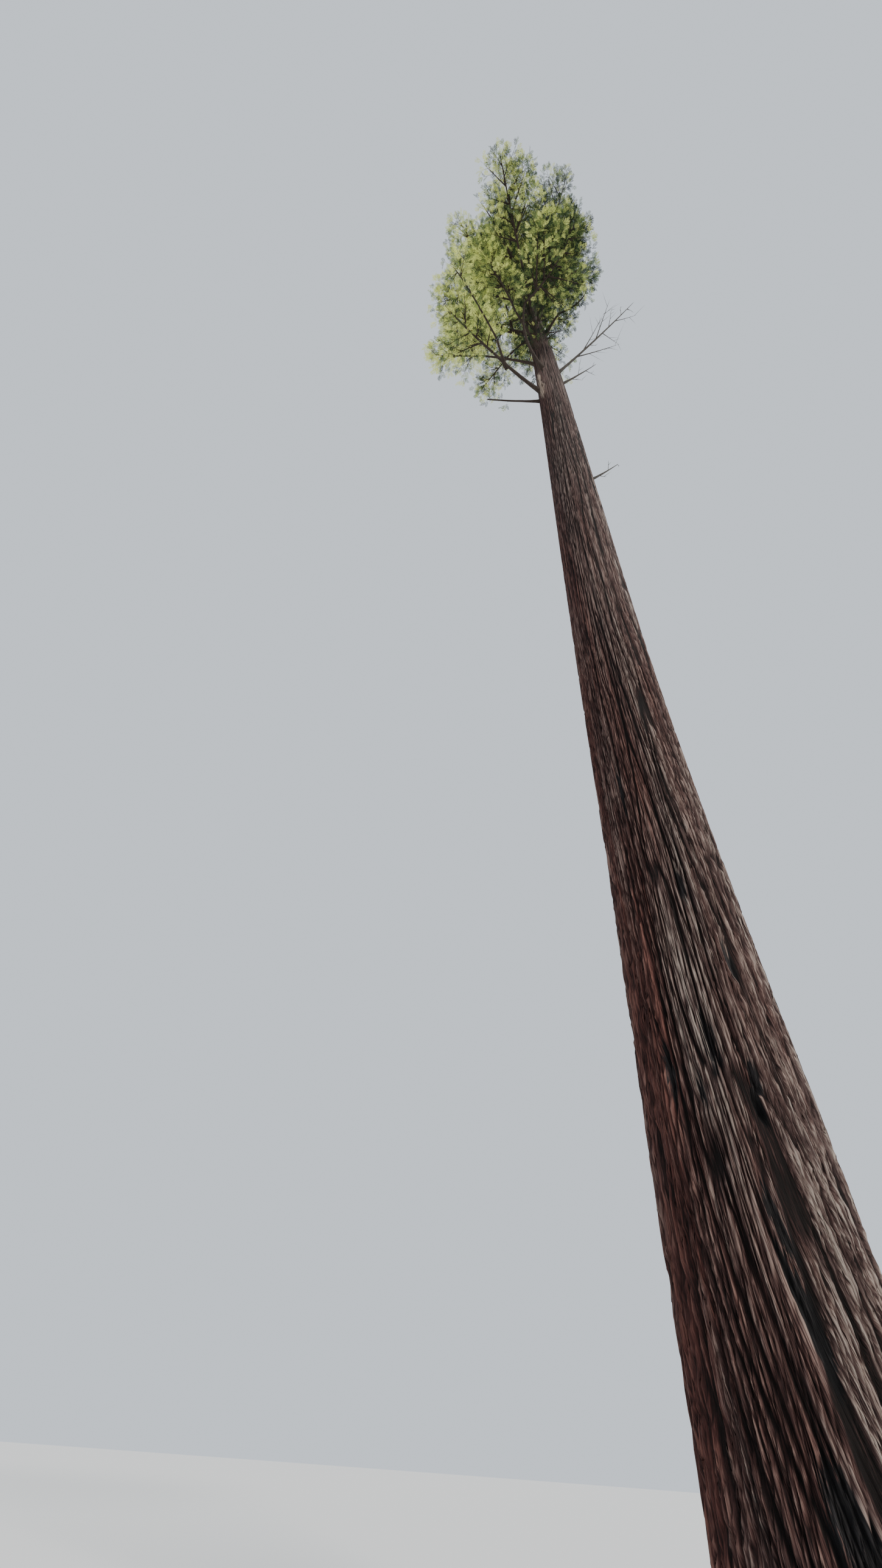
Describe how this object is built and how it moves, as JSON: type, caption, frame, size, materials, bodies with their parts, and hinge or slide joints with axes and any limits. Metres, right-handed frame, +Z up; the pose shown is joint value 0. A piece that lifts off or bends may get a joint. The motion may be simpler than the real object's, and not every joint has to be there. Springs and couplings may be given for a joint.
{
  "type": "coast redwood tree",
  "caption": "Tall forest redwood with a long bare furrowed trunk, a flared foot and a narrow drooping crown.",
  "frame": {"origin": "centre of the flat cut under the trunk, at ground level", "axes": "+Z up along the trunk; -Y is the side where the crown reaches out furthest and the trunk leans"},
  "size_m": [6.2748, 6.7089, 40],
  "materials": {
    "trunk_bark": "deeply furrowed fibrous bark",
    "bough_bark": "rough thin bark",
    "dead_wood": "weathered grey wood",
    "foliage": "matte needle sprays"
  },
  "bodies": {
    "root": {"bough_01": "bough_bark", "bough_02": "bough_bark", "bough_03": "bough_bark", "bough_04": "bough_bark", "bough_05": "bough_bark", "bough_06": "bough_bark", "bough_07": "bough_bark", "bough_08": "bough_bark", "bough_09": "bough_bark", "bough_10": "bough_bark", "bough_11": "bough_bark", "bough_12": "bough_bark", "dead_limb_01": "dead_wood", "dead_limb_02": "dead_wood", "dead_limb_03": "dead_wood", "foliage_01": "foliage", "foliage_02": "foliage", "foliage_03": "foliage", "foliage_04": "foliage", "foliage_05": "foliage", "foliage_06": "foliage", "foliage_07": "foliage", "foliage_08": "foliage", "foliage_09": "foliage", "foliage_10": "foliage", "foliage_11": "foliage", "foliage_12": "foliage", "foliage_13": "foliage", "foliage_14": "foliage", "foliage_15": "foliage", "foliage_16": "foliage", "foliage_17": "foliage", "foliage_18": "foliage", "foliage_19": "foliage", "foliage_20": "foliage", "foliage_21": "foliage", "foliage_22": "foliage", "foliage_23": "foliage", "foliage_24": "foliage", "foliage_25": "foliage", "foliage_26": "foliage", "foliage_27": "foliage", "foliage_28": "foliage", "foliage_29": "foliage", "foliage_30": "foliage", "foliage_31": "foliage", "foliage_32": "foliage", "foliage_33": "foliage", "foliage_34": "foliage", "foliage_35": "foliage", "foliage_36": "foliage", "foliage_37": "foliage", "foliage_38": "foliage", "foliage_39": "foliage", "foliage_40": "foliage", "foliage_41": "foliage", "low_limb": "bough_bark", "trunk": "trunk_bark"}
  },
  "joints": []
}
